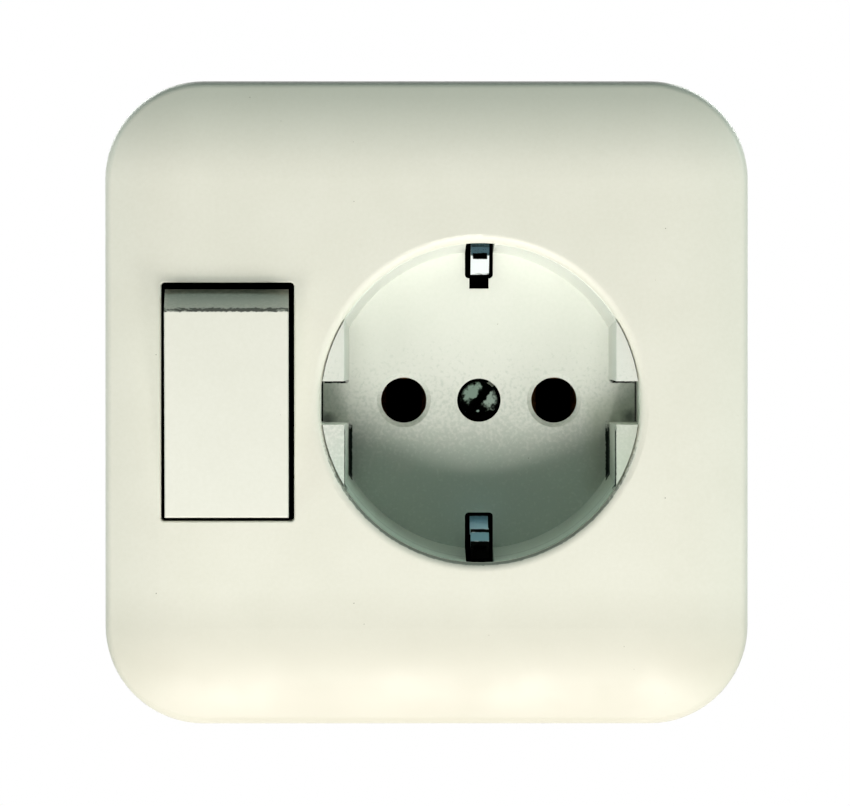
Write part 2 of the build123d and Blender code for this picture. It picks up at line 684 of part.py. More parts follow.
# Insert base: the insulating body that carries every live piece and stands in the flush box
with BuildPart() as insert_base:
    with BuildSketch(at_depth(base_depth)):
        Circle(base_radius)
    extrude(amount=base_depth)
    chamfer(insert_base.edges().sort_by(Axis.Y)[-1], back_chamfer)
    # Compartments in the back face, one for each terminal, with partition walls between them
    with BuildSketch(at_depth(base_depth)):
        Circle(base_radius - back_chamfer - back_wall)
        with Locations((partition_x, 0)):
            Rectangle(back_wall, 2 * base_radius, mode=Mode.SUBTRACT)
            Rectangle(2 * base_radius, back_wall, align=(Align.MIN, Align.CENTER), mode=Mode.SUBTRACT)
        with Locations((partition_x, switch_partition_z)):
            Rectangle(base_radius, back_wall, align=(Align.MAX, Align.CENTER), mode=Mode.SUBTRACT)
        with Locations((well_x, 0)):
            Rectangle(back_wall, base_radius, align=(Align.CENTER, Align.MAX), mode=Mode.SUBTRACT)
    extrude(amount=back_recess, mode=Mode.SUBTRACT)
    # Coring holes that keep the moulding's walls even
    with BuildSketch(at_depth(base_depth)):
        with Locations(*coring_places):
            Circle(coring_radius)
    extrude(amount=back_recess + coring_depth, mode=Mode.SUBTRACT)
    # Room for the pot, open to the right, where the pot reaches the rim of the body
    with BuildSketch(at_depth(pocket_depth)):
        with Locations((well_x, 0)):
            Circle(pocket_radius)
            Rectangle(2 * pocket_radius, pocket_opening, align=(Align.MIN, Align.CENTER))
    extrude(amount=pocket_depth, mode=Mode.SUBTRACT)
    with BuildSketch(at_depth(bush_back)):
        with Locations((well_x, 0)):
            Circle(bush_radius + 0.1)
    extrude(amount=bush_back - pocket_depth + 1, mode=Mode.SUBTRACT)
    # Chambers of the contact sleeves, with a slot for the wing of each sleeve
    with BuildSketch(at_depth(tail_back)):
        with Locations(*pin_places):
            Rectangle(2 * (sleeve_half_gap + 1.25), sleeve_width + 1.2)
    extrude(amount=tail_back - pocket_depth, mode=Mode.SUBTRACT)
    with BuildSketch(at_depth(tail_back)):
        for side in (1, -1):
            with Locations((well_x + side * sleeve_wing, -7.8)):
                Rectangle(sleeve_leaf + 2 * clearance, 16.4)
    extrude(amount=tail_back - block_front, mode=Mode.SUBTRACT)
    # Chamber of the switch, with a stop under the upper end of the seesaw
    with BuildSketch(at_depth(chamber_depth)):
        with Locations((mechanism_x, middle_z)):
            Rectangle(cheek_gap, chamber_length)
    extrude(amount=chamber_depth, mode=Mode.SUBTRACT)
    with BuildSketch(at_depth(chamber_depth)):
        with Locations((mechanism_x, middle_z + (chamber_length - seesaw_stop_length) / 2)):
            Rectangle(cheek_gap, seesaw_stop_length)
    extrude(amount=chamber_depth - seesaw_stop_y)
    # Slots for the two switch strips and for the tail of the earth bracket
    with BuildSketch(at_depth(base_depth)):
        with Locations((mechanism_x, middle_z), (mechanism_x, fixed_leg_z)):
            Rectangle(strip_width, strip_thickness)
        with Locations((well_x, earth_tail_z)):
            Rectangle(strip_width, strip_thickness)
    extrude(amount=base_depth - pocket_depth, mode=Mode.SUBTRACT)
    # Cheeks that hold the axle of the rocker
    with BuildSketch(Plane.YZ.offset(cheek_places[0])) as cheek:
        with Locations(((cheek_foot_y + rocker_pivot_y) / 2, middle_z)):
            Rectangle(cheek_foot_y - rocker_pivot_y, cheek_length)
        with Locations((rocker_pivot_y, middle_z)):
            Circle(cheek_radius)
            Circle(axle_radius, mode=Mode.SUBTRACT)
    extrude(amount=cheek_thickness / 2, both=True)
    with BuildSketch(Plane.YZ.offset(cheek_places[1])):
        add(cheek.sketch_local)
    extrude(amount=cheek_thickness / 2, both=True)
    # Terminal pockets, open to the back, each with a channel for its screwdriver
    for (block_x, block_z), (out_x, out_z) in terminals.values():
        along_x = block_length if out_x else block_breadth
        along_z = block_length if out_z else block_breadth
        with BuildSketch(at_depth(base_depth)):
            with Locations((block_x, block_z)):
                Rectangle(along_x + 2 * clearance, along_z + 2 * clearance)
        extrude(amount=base_depth - block_front, mode=Mode.SUBTRACT)
        screw_plane = Plane(
            origin=(block_x, (block_front + block_back) / 2, block_z),
            z_dir=(out_x, 0, out_z),
        )
        with BuildSketch(screw_plane):
            Circle(small_head_radius + 0.4)
        extrude(amount=base_radius, mode=Mode.SUBTRACT)
    # Grooves for the claws and holes for the ring screws
    with BuildSketch(at_depth(claw_groove_back)):
        for side in (1, -1):
            with Locations((claw_x, side * (claw_groove_floor + 5))):
                Rectangle(claw_groove_width, 10)
    extrude(amount=claw_groove_back, mode=Mode.SUBTRACT)
    with BuildSketch(at_depth(ring_screw_length)):
        with Locations(*ring_screw_places):
            Circle(small_screw_radius)
    extrude(amount=ring_screw_length, mode=Mode.SUBTRACT)
insert_base.part.label = "insert_base"
export_step(insert_base.part, "parts/insert_base.step")

# Earth bracket: one spring strip whose two ends come out into the well as the side contacts
clip_points = [
    (-6.1, 19.75),
    (-5.3, 18.9),
    (-0.6, 16.35),
    (7.4, 16.55),
    (bracket_front + bracket_thickness / 2, 13.4),
]
with BuildPart() as earth_bracket:
    lower_points = [(y, -z) for y, z in reversed(clip_points)]
    add(bent_strip(Plane.YZ.offset(well_x), clip_points + lower_points, 0.5, bracket_thickness, clip_width))
    with BuildSketch(at_depth(bracket_front + bracket_thickness)):
        with Locations((well_x, 0)):
            SlotOverall(bracket_length, bracket_width, rotation=90)
    extrude(amount=bracket_thickness)
    with BuildSketch(at_depth(tail_back)):
        with Locations((well_x, earth_tail_z)):
            Rectangle(strip_width, strip_thickness)
    extrude(amount=tail_back - bracket_front)
    with BuildSketch(at_depth(bracket_front + bracket_thickness)):
        with Locations((well_x, 0)):
            Circle(bush_neck_radius)
    extrude(amount=bracket_thickness, mode=Mode.SUBTRACT)
    # Window punched in the tip of each clip
    with BuildSketch(Plane.XY):
        with Locations((well_x, clip_window_y)):
            RectangleRounded(clip_window_width, clip_window_height, clip_window_rounding)
    extrude(amount=2 * well_mouth_radius, both=True, mode=Mode.SUBTRACT)
earth_bracket.part.label = "earth_bracket"
export_step(earth_bracket.part, "parts/earth_bracket.step")

with BuildPart() as threaded_bush:
    with BuildSketch(at_depth(bush_back)):
        with Locations((well_x, 0)):
            Circle(bush_radius)
    extrude(amount=bush_back - bracket_front - bracket_thickness)
    with BuildSketch(at_depth(bracket_front + bracket_thickness)):
        with Locations((well_x, 0)):
            Circle(bush_neck_radius)
    extrude(amount=bracket_thickness)
    with BuildSketch(at_depth(bush_back)):
        with Locations((well_x, 0)):
            Circle(cover_screw_bore)
    extrude(amount=bush_back - bracket_front, mode=Mode.SUBTRACT)
threaded_bush.part.label = "threaded_bush"
export_step(threaded_bush.part, "parts/threaded_bush.step")


def contact_sleeve(side):
    """Fork of two sprung leaves that grips one plug pin, joined above it, with a wing down to its terminal."""
    pin_x = well_x + side * pin_spacing / 2
    with BuildPart() as sleeve:
        for leaf in (1, -1):
            points = [
                (pin_x + leaf * (sleeve_half_gap + 0.7), 12.9),
                (pin_x + leaf * (sleeve_half_gap - 0.3), 14.6),
                (pin_x + leaf * sleeve_half_gap, 18.0),
                (pin_x + leaf * sleeve_half_gap, sleeve_back),
            ]
            add(bent_strip(Plane.XY, points, 0.5, sleeve_leaf, sleeve_width))
        # Web that joins the two leaves over the pin
        with BuildSketch(at_depth(sleeve_back)):
            with Locations((pin_x, (sleeve_width - sleeve_leaf) / 2)):
                Rectangle(2 * sleeve_half_gap + sleeve_leaf, sleeve_leaf)
        extrude(amount=sleeve_back - web_front)
        with BuildSketch(Plane.YZ.offset(pin_x + side * sleeve_half_gap)):
            with Locations(((block_front + 0.5 + sleeve_back - 0.5) / 2, -9.2)):
                Rectangle(sleeve_back - block_front - 1.0, 13.2)
        extrude(amount=sleeve_leaf / 2, both=True)
    return sleeve.part


with BuildPart() as line_contact:
    add(contact_sleeve(1))
line_contact.part.label = "line_contact"
export_step(line_contact.part, "parts/line_contact.step")

with BuildPart() as neutral_contact:
    add(contact_sleeve(-1))
neutral_contact.part.label = "neutral_contact"
export_step(neutral_contact.part, "parts/neutral_contact.step")


def terminal_block(place, way_out):
    """Brass block with a hole for the wire from behind and a cross hole for its screw."""
    along_x = block_length if way_out[0] else block_breadth
    along_z = block_length if way_out[1] else block_breadth
    with BuildPart() as block:
        with BuildSketch(at_depth(block_back)):
            with Locations(place):
                Rectangle(along_x, along_z)
        extrude(amount=block_back - block_front)
        chamfer(block.faces().sort_by(Axis.Y)[-1].edges(), 0.3)
        with BuildSketch(at_depth(block_back)):
            with Locations(place):
                Circle(wire_hole_radius)
        extrude(amount=block_back - block_front - 1.0, mode=Mode.SUBTRACT)
        with BuildSketch(terminal_screw_plane(place, way_out, 0)):
            Circle(clamp_screw_radius)
        extrude(amount=block_length, mode=Mode.SUBTRACT)
    return block.part


def terminal_screw_plane(place, way_out, reach):
    """Plane across the screw of a terminal, a distance out from the middle of its block."""
    origin = (place[0] + way_out[0] * reach, (block_front + block_back) / 2, place[1] + way_out[1] * reach)
    return Plane(origin=origin, z_dir=(way_out[0], 0, way_out[1]))


for terminal_name, (place, way_out) in terminals.items():
    with BuildPart() as terminal:
        add(terminal_block(place, way_out))
    terminal.part.label = terminal_name
    export_step(terminal.part, f"parts/{terminal_name}.step")

with BuildPart() as terminal_screws:
    for place, way_out in terminals.values():
        head_plane = terminal_screw_plane(place, way_out, block_length / 2 + clamp_gap)
        add(
            slotted_screw(
                head_plane,
                small_head_radius,
                small_head_height,
                clamp_screw_radius,
                clamp_screw_length,
                30,
                small_slot_width,
            )
        )
terminal_screws.part.label = "terminal_screws"
export_step(terminal_screws.part, "parts/terminal_screws.step")

with BuildPart() as ring_screws:
    for index, (screw_x, screw_z) in enumerate(ring_screw_places):
        screw = slotted_screw(
            at_depth(-ring_thickness),
            small_head_radius,
            small_head_height,
            small_screw_radius,
            ring_screw_length,
            25 + 40 * index,
            small_slot_width,
        )
        add(screw.moved(Location((screw_x, 0, screw_z))))
ring_screws.part.label = "ring_screws"
export_step(ring_screws.part, "parts/ring_screws.step")

# Spreading claw: a bent arm with teeth at its outer tip and a foot on the claw screw
with BuildPart() as claw_upper:
    add(
        bent_strip(
            Plane.YZ.offset(claw_x),
            [(claw_heel_y, 20.4), (claw_heel_y, claw_heel_z), (8.6, claw_heel_z), (5.0, claw_heel_z + 0.7)],
            1.0,
            claw_thickness,
            claw_width,
        )
    )
    with BuildSketch(at_depth(claw_heel_y + claw_thickness)):
        with Locations((claw_x, claw_screw_z)):
            SlotOverall(claw_hole_length, claw_hole_width, rotation=90)
    extrude(amount=2 * claw_thickness, mode=Mode.SUBTRACT)
    with BuildSketch(Plane.XY.offset(claw_heel_z)):
        for tooth in (-1, 1):
            with BuildLine():
                Polyline(
                    (claw_x + 1.5 * tooth - 0.9, 4.4),
                    (claw_x + 1.5 * tooth, 6.6),
                    (claw_x + 1.5 * tooth + 0.9, 4.4),
                    close=True,
                )
            make_face()
    extrude(amount=2 * claw_thickness, both=True, mode=Mode.SUBTRACT)
claw_upper.part.label = "claw_upper"
export_step(claw_upper.part, "parts/claw_upper.step")

with BuildPart() as claw_lower:
    add(claw_upper.part.mirror(Plane.XY))
claw_lower.part.label = "claw_lower"
export_step(claw_lower.part, "parts/claw_lower.step")

with BuildPart() as claw_screws:
    for side in (1, -1):
        screw = slotted_screw(
            at_depth(-ring_thickness),
            claw_head_radius,
            claw_head_height,
            claw_screw_radius,
            claw_screw_length,
            15 * side,
            claw_slot_width,
        )
        add(screw.moved(Location((claw_x, 0, side * claw_screw_z))))
claw_screws.part.label = "claw_screws"
export_step(claw_screws.part, "parts/claw_screws.step")
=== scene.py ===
"""Switched socket: finishes, a spring, screw threads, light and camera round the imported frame."""

from __future__ import annotations

import logging
import math
from dataclasses import dataclass
from enum import Enum

import bmesh
import bpy
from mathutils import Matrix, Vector

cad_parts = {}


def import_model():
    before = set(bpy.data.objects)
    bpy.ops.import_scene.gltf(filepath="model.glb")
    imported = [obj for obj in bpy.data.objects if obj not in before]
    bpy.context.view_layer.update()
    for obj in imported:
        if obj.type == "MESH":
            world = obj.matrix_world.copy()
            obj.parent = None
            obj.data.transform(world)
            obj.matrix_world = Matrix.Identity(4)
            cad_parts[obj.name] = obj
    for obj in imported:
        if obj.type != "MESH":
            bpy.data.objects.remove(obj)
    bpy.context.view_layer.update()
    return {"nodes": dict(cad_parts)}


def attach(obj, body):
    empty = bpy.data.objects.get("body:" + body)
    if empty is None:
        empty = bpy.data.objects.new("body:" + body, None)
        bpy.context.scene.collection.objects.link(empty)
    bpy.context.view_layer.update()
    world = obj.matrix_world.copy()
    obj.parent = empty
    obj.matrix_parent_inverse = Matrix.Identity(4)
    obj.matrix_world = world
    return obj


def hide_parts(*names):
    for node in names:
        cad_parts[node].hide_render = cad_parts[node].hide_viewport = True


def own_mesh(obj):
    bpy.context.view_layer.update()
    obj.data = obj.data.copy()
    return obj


LOG = logging.getLogger("switched_socket")

MILLIMETRE = 0.001

# Middles of the main pieces, in the part's own millimetres
COVER_X_MM = -0.2
ROCKER_X_MM = -24.85
WELL_X_MM = 6.7
# How far behind the wall the well's floor and the head of its screw lie
WELL_FLOOR_MM = 8.0
SCREW_HEAD_MM = 8.1

# Nearly all values of a noise lie between these two
NOISE_LOW = 0.3
NOISE_HIGH = 0.7


class Lay(Enum):
    """How the marks of a metal surface lie: drawn along an axis, or in no direction."""

    ALONG_X = (0.04, 1.0, 1.0)
    ALONG_Y = (1.0, 0.04, 1.0)
    ALONG_Z = (1.0, 1.0, 0.04)
    EVEN = (1.0, 1.0, 1.0)


class Reach(Enum):
    """Outline of a soiled zone: square to the axes, or round."""

    SQUARE = "square"
    ROUND = "round"


def to_linear(colour: str) -> tuple[float, float, float, float]:
    """Turn an sRGB colour into the linear one that the shaders work in.

    Args:
        colour: Six hexadecimal digits after a hash sign.

    Returns:
        Red, green, blue and an alpha of one.
    """
    channels = []
    for start in (1, 3, 5):
        value = int(colour[start : start + 2], 16) / 255.0
        if value <= 0.04045:
            channels.append(value / 12.92)
        else:
            channels.append(((value + 0.055) / 1.055) ** 2.4)
    return (channels[0], channels[1], channels[2], 1.0)


def scale_of(size_mm: float) -> float:
    """Texture scale at which one noise cell is as wide as this size in millimetres."""
    return 1.0 / (size_mm * MILLIMETRE)


def add_node(
    tree: bpy.types.NodeTree,
    kind: str,
    settings: dict[str, object] | None = None,
    inputs: dict[str | int, object] | None = None,
) -> bpy.types.Node:
    """Add one node with its settings, its fixed inputs and its links.

    Args:
        tree: Node tree that takes the node.
        kind: Blender's name for the node type.
        settings: Attributes of the node.
        inputs: Input socket names or numbers, each with a value or with an output socket to link.

    Returns:
        The new node.
    """
    node = tree.nodes.new(kind)
    for name, value in (settings or {}).items():
        setattr(node, name, value)
    for name, value in (inputs or {}).items():
        if isinstance(value, bpy.types.NodeSocket):
            tree.links.new(value, node.inputs[name])
        else:
            node.inputs[name].default_value = value
    return node


def new_material(name: str) -> tuple[bpy.types.Material, bpy.types.NodeTree]:
    """Make an empty node material.

    Args:
        name: Name of the material.

    Returns:
        The material and its node tree.
    """
    material = bpy.data.materials.new(name)
    material.use_nodes = True
    material.node_tree.nodes.clear()
    return material, material.node_tree


@dataclass(frozen=True)
class Skin:
    """What a surface shows so far: its colour, its roughness and how far it is metal."""

    colour: bpy.types.NodeSocket
    roughness: bpy.types.NodeSocket
    metallic: bpy.types.NodeSocket | float


@dataclass(frozen=True)
class SoilAndShade:
    """A colour laid over one zone of a piece, for dirt and for painted light and shade.

    The zone lies in the piece's own millimetres. Its border softens by edge and frays by ragged,
    both as shares of each half size, so a long zone frays further at its ends.
    """

    centre_mm: tuple[float, float, float]
    half_mm: tuple[float, float, float]
    colour: str
    amount: float = 1.0
    edge: float = 0.08
    ragged: float = 0.1
    grain_mm: float = 0.6
    reach: Reach = Reach.SQUARE
    turn_deg: float = 0.0
    roughness: float | None = None
    metallic: float | None = None

    def outward(self, tree: bpy.types.NodeTree, place: bpy.types.NodeSocket) -> bpy.types.NodeSocket:
        """Work out how far from the middle of the zone each point lies.

        Args:
            tree: Node tree of the material.
            place: The piece's own coordinates.

        Returns:
            Zero in the middle of the zone, and one all along its border.
        """
        centre = [value * MILLIMETRE for value in self.centre_mm]
        half = [value * MILLIMETRE for value in self.half_mm]
        turned = place
        if self.turn_deg:
            turned = add_node(
                tree,
                "ShaderNodeVectorRotate",
                {"rotation_type": "Y_AXIS"},
                {"Vector": place, "Center": centre, "Angle": math.radians(self.turn_deg)},
            ).outputs[0]
        moved = add_node(
            tree, "ShaderNodeVectorMath", {"operation": "SUBTRACT"}, {0: turned, 1: centre}
        )
        sized = add_node(
            tree, "ShaderNodeVectorMath", {"operation": "DIVIDE"}, {0: moved.outputs[0], 1: half}
        )
        if self.reach is Reach.ROUND:
            length = add_node(
                tree, "ShaderNodeVectorMath", {"operation": "LENGTH"}, {0: sized.outputs[0]}
            )
            return length.outputs["Value"]
        sides = add_node(
            tree, "ShaderNodeVectorMath", {"operation": "ABSOLUTE"}, {0: sized.outputs[0]}
        )
        axes = add_node(tree, "ShaderNodeSeparateXYZ", inputs={0: sides.outputs[0]})
        wider = add_node(
            tree, "ShaderNodeMath", {"operation": "MAXIMUM"}, {0: axes.outputs[0], 1: axes.outputs[1]}
        )
        widest = add_node(
            tree, "ShaderNodeMath", {"operation": "MAXIMUM"}, {0: wider.outputs[0], 1: axes.outputs[2]}
        )
        return widest.outputs[0]

    def coverage(self, tree: bpy.types.NodeTree, place: bpy.types.NodeSocket) -> bpy.types.NodeSocket:
        """Work out how far the zone covers each point.

        Args:
            tree: Node tree of the material.
            place: The piece's own coordinates.

        Returns:
            The zone's amount within it, and zero outside it.
        """
        grain = add_node(
            tree,
            "ShaderNodeTexNoise",
            inputs={"Vector": place, "Scale": scale_of(self.grain_mm), "Detail": 3.0},
        )
        frayed = add_node(
            tree,
            "ShaderNodeMapRange",
            inputs={
                "Value": grain.outputs["Fac"],
                "From Min": NOISE_LOW,
                "From Max": NOISE_HIGH,
                "To Min": -self.ragged,
                "To Max": self.ragged,
            },
        )
        border = add_node(
            tree,
            "ShaderNodeMath",
            {"operation": "ADD"},
            {0: self.outward(tree, place), 1: frayed.outputs[0]},
        )
        covered = add_node(
            tree,
            "ShaderNodeMapRange",
            inputs={
                "Value": border.outputs[0],
                "From Min": 1.0 - self.edge,
                "From Max": 1.0 + self.edge,
                "To Min": self.amount,
                "To Max": 0.0,
            },
        )
        return covered.outputs[0]

    def lay(self, tree: bpy.types.NodeTree, place: bpy.types.NodeSocket, under: Skin) -> Skin:
        """Lay the zone's colour over a surface.

        Args:
            tree: Node tree of the material.
            place: The piece's own coordinates.
            under: The surface without it.

        Returns:
            The surface with the zone laid on it.
        """
        covered = self.coverage(tree, place)
        laid = add_node(
            tree,
            "ShaderNodeMix",
            {"data_type": "RGBA"},
            {"Factor": covered, "A": under.colour, "B": to_linear(self.colour)},
        )
        return Skin(
            laid.outputs["Result"],
            self.turned_to(tree, covered, under.roughness, self.roughness),
            self.turned_to(tree, covered, under.metallic, self.metallic),
        )

    def turned_to(
        self,
        tree: bpy.types.NodeTree,
        covered: bpy.types.NodeSocket,
        beneath: bpy.types.NodeSocket | float,
        laid: float | None,
    ) -> bpy.types.NodeSocket | float:
        """Turn a value of the surface beneath to the zone's own where the zone covers it.

        Args:
            tree: Node tree of the material.
            covered: How far the zone covers each point.
            beneath: Value of the surface beneath.
            laid: Value of the zone, or None where it changes nothing.

        Returns:
            The value with the dirt on it.
        """
        if laid is None:
            return beneath
        turned = add_node(
            tree, "ShaderNodeMapRange", inputs={"Value": covered, "To Min": beneath, "To Max": laid}
        )
        return turned.outputs[0]


def painted_black_shade(
    centre_mm: tuple[float, float, float],
    half_mm: tuple[float, float, float],
    edge: float = 0.05,
    ragged: float = 0.06,
    turn_deg: float = 0.0,
    reach: Reach = Reach.SQUARE,
) -> SoilAndShade:
    """Painted shade: black without shine, laid where a place lies in shade.

    Args:
        centre_mm: Middle of the zone.
        half_mm: Half its size along each axis.
        edge: Softness of its border, as a share of the half size.
        ragged: How far the border frays, as a share of the half size.
        turn_deg: Turn of the zone about the axis into the wall.
        reach: Outline of the zone.

    Returns:
        The zone of painted shade.
    """
    # A rough black metal has no pale gloss of its own, which a rough black plastic would have
    return SoilAndShade(
        centre_mm,
        half_mm,
        "#020302",
        edge=edge,
        ragged=ragged,
        turn_deg=turn_deg,
        reach=reach,
        roughness=1.0,
        metallic=1.0,
    )


@dataclass(frozen=True)
class MouldedPlastic:
    """A moulding: an even colour with faint clouds and mottling, rare specks and a soft gloss."""

    name: str
    colour: str
    shade: str
    speck: str
    roughness: float = 0.42
    duller_by: float = 0.06
    glossier_by: float = 0.04
    ior: float = 1.5
    mottle_mm: float = 0.5
    cloud_mm: float = 9.0
    mottle_low: float = 0.7
    mottle_high: float = 1.3
    speck_mm: float = 1.3
    speck_radius: float = 0.055
    cells_without_speck: float = 0.93
    peel_mm: float = 0.8
    peel_depth_mm: float = 0.004
    peel_strength: float = 0.6
    soils_and_shades: tuple[SoilAndShade, ...] = ()

    def build(self) -> bpy.types.Material:
        """Make the material.

        Returns:
            The material, whose grain follows the piece's own millimetres.
        """
        material, tree = new_material(self.name)
        place = add_node(tree, "ShaderNodeTexCoord").outputs["Object"]
        # The filler's grain is finer than this in the real moulding; drawn coarser so that it shows
        mottle = add_node(
            tree,
            "ShaderNodeTexNoise",
            inputs={"Vector": place, "Scale": scale_of(self.mottle_mm), "Detail": 3.0},
        )
        cloud = add_node(
            tree,
            "ShaderNodeTexNoise",
            inputs={"Vector": place, "Scale": scale_of(self.cloud_mm), "Detail": 2.0},
        )
        base = self.mottled(tree, mottle.outputs["Fac"], cloud.outputs["Fac"])
        tinted = add_node(
            tree,
            "ShaderNodeMix",
            {"data_type": "RGBA"},
            {"Factor": self.specks(tree, place), "A": base, "B": to_linear(self.speck)},
        )
        # The slight waviness that a polished mould leaves, drawn deep enough to show
        peel = add_node(
            tree,
            "ShaderNodeTexNoise",
            inputs={"Vector": place, "Scale": scale_of(self.peel_mm), "Detail": 2.0},
        )
        bump = add_node(
            tree,
            "ShaderNodeBump",
            inputs={
                "Height": peel.outputs["Fac"],
                "Distance": self.peel_depth_mm * MILLIMETRE,
                "Strength": self.peel_strength,
            },
        )
        gloss = add_node(
            tree,
            "ShaderNodeMapRange",
            inputs={
                "Value": cloud.outputs["Fac"],
                "From Min": NOISE_LOW,
                "From Max": NOISE_HIGH,
                "To Min": self.roughness - self.glossier_by,
                "To Max": self.roughness + self.duller_by,
            },
        )
        skin = Skin(tinted.outputs["Result"], gloss.outputs[0], 0.0)
        for overlay in self.soils_and_shades:
            skin = overlay.lay(tree, place, skin)
        shader = add_node(
            tree,
            "ShaderNodeBsdfPrincipled",
            inputs={
                "Base Color": skin.colour,
                "Roughness": skin.roughness,
                "Metallic": skin.metallic,
                "IOR": self.ior,
                "Normal": bump.outputs[0],
            },
        )
        add_node(tree, "ShaderNodeOutputMaterial", inputs={"Surface": shader.outputs[0]})
        return material

    def mottled(
        self, tree: bpy.types.NodeTree, mottle: bpy.types.NodeSocket, cloud: bpy.types.NodeSocket
    ) -> bpy.types.NodeSocket:
        """Mix the moulding's two close colours.

        Args:
            tree: Node tree of the material.
            mottle: The fine pattern.
            cloud: The coarse pattern.

        Returns:
            The colour without specks and the zones laid over it.
        """
        both = add_node(tree, "ShaderNodeMath", {"operation": "ADD"}, {0: mottle, 1: cloud})
        spread = add_node(
            tree,
            "ShaderNodeMapRange",
            inputs={
                "Value": both.outputs[0],
                "From Min": self.mottle_low,
                "From Max": self.mottle_high,
            },
        )
        base = add_node(
            tree,
            "ShaderNodeMix",
            {"data_type": "RGBA"},
            {"Factor": spread.outputs[0], "A": to_linear(self.shade), "B": to_linear(self.colour)},
        )
        return base.outputs["Result"]

    def specks(self, tree: bpy.types.NodeTree, place: bpy.types.NodeSocket) -> bpy.types.NodeSocket:
        """Scatter rare specks of dust pressed into the surface.

        Args:
            tree: Node tree of the material.
            place: The piece's own coordinates.

        Returns:
            One on a speck, and zero beside it.
        """
        cells = add_node(
            tree, "ShaderNodeTexVoronoi", inputs={"Vector": place, "Scale": scale_of(self.speck_mm)}
        )
        dot = add_node(
            tree,
            "ShaderNodeMath",
            {"operation": "LESS_THAN"},
            {0: cells.outputs["Distance"], 1: self.speck_radius},
        )
        drawn = add_node(tree, "ShaderNodeSeparateColor", inputs={0: cells.outputs["Color"]})
        chosen = add_node(
            tree,
            "ShaderNodeMath",
            {"operation": "GREATER_THAN"},
            {0: drawn.outputs[0], 1: self.cells_without_speck},
        )
        speck = add_node(
            tree, "ShaderNodeMath", {"operation": "MULTIPLY"}, {0: dot.outputs[0], 1: chosen.outputs[0]}
        )
        return speck.outputs[0]


@dataclass(frozen=True)
class WorkedMetal:
    """Metal with its plating or bare skin: a reflection broken by drawing marks and dull spots."""

    name: str
    colour: str
    dull: str
    roughness: float
    lay: Lay = Lay.EVEN
    duller_by: float = 0.08
    glossier_by: float = 0.06
    mark_mm: float = 0.25
    mark_depth_mm: float = 0.004
    mark_strength: float = 0.7
    stain: float = 0.35
    stain_mm: float = 3.0
    stain_low: float = 0.45
    stain_high: float = 0.75
    soils_and_shades: tuple[SoilAndShade, ...] = ()

    def build(self) -> bpy.types.Material:
        """Make the material.

        Returns:
            The material, whose marks follow the piece's own millimetres.
        """
        material, tree = new_material(self.name)
        place = add_node(tree, "ShaderNodeTexCoord").outputs["Object"]
        drawn = add_node(tree, "ShaderNodeMapping", inputs={"Vector": place, "Scale": self.lay.value})
        # Rolling and turning marks are finer than this; drawn coarser so that they show
        marks = add_node(
            tree,
            "ShaderNodeTexNoise",
            inputs={"Vector": drawn.outputs[0], "Scale": scale_of(self.mark_mm), "Detail": 3.0},
        )
        stains = add_node(
            tree,
            "ShaderNodeTexNoise",
            inputs={"Vector": place, "Scale": scale_of(self.stain_mm), "Detail": 4.0},
        )
        dulled = add_node(
            tree,
            "ShaderNodeMapRange",
            inputs={
                "Value": stains.outputs["Fac"],
                "From Min": self.stain_low,
                "From Max": self.stain_high,
                "To Max": self.stain,
            },
        )
        base = add_node(
            tree,
            "ShaderNodeMix",
            {"data_type": "RGBA"},
            {"Factor": dulled.outputs[0], "A": to_linear(self.colour), "B": to_linear(self.dull)},
        )
        gloss = add_node(
            tree,
            "ShaderNodeMapRange",
            inputs={
                "Value": marks.outputs["Fac"],
                "From Min": NOISE_LOW,
                "From Max": NOISE_HIGH,
                "To Min": self.roughness - self.glossier_by,
                "To Max": self.roughness + self.duller_by,
            },
        )
        bump = add_node(
            tree,
            "ShaderNodeBump",
            inputs={
                "Height": marks.outputs["Fac"],
                "Distance": self.mark_depth_mm * MILLIMETRE,
                "Strength": self.mark_strength,
            },
        )
        skin = Skin(base.outputs["Result"], gloss.outputs[0], 1.0)
        for overlay in self.soils_and_shades:
            skin = overlay.lay(tree, place, skin)
        shader = add_node(
            tree,
            "ShaderNodeBsdfPrincipled",
            inputs={
                "Base Color": skin.colour,
                "Metallic": skin.metallic,
                "Roughness": skin.roughness,
                "Normal": bump.outputs[0],
            },
        )
        add_node(tree, "ShaderNodeOutputMaterial", inputs={"Surface": shader.outputs[0]})
        return material


COVER_PAINTED_SHADE = (
    # Painted shade: the lower slope, lit most, is drawn darker and yellower, and the upper one, turned from
    # the lamps, darker and greener
    SoilAndShade((COVER_X_MM, 0.0, -42.0), (46.0, 20.0, 12.5), "#D4D2C4", edge=0.5, ragged=0.03, grain_mm=6.0),
    SoilAndShade(
        (COVER_X_MM, 0.0, 43.0),
        (46.0, 20.0, 8.0),
        "#CFD8C9",
        amount=0.45,
        edge=0.6,
        ragged=0.03,
        grain_mm=6.0,
    ),
    # Painted shade along the upper edge, turned from the lamps
    SoilAndShade((COVER_X_MM, 0.0, 42.0), (46.0, 20.0, 2.0), "#7A7474", amount=0.8, edge=0.12, ragged=0.02),
    # Painted shade in the seam between the cover and the lower half of the well, where shade falls
    SoilAndShade(
        (WELL_X_MM, -8.75, -14.0),
        (18.0, 0.4, 8.0),
        "#3E4F44",
        amount=0.75,
        edge=0.12,
        ragged=0.12,
        grain_mm=0.5,
    ),
)

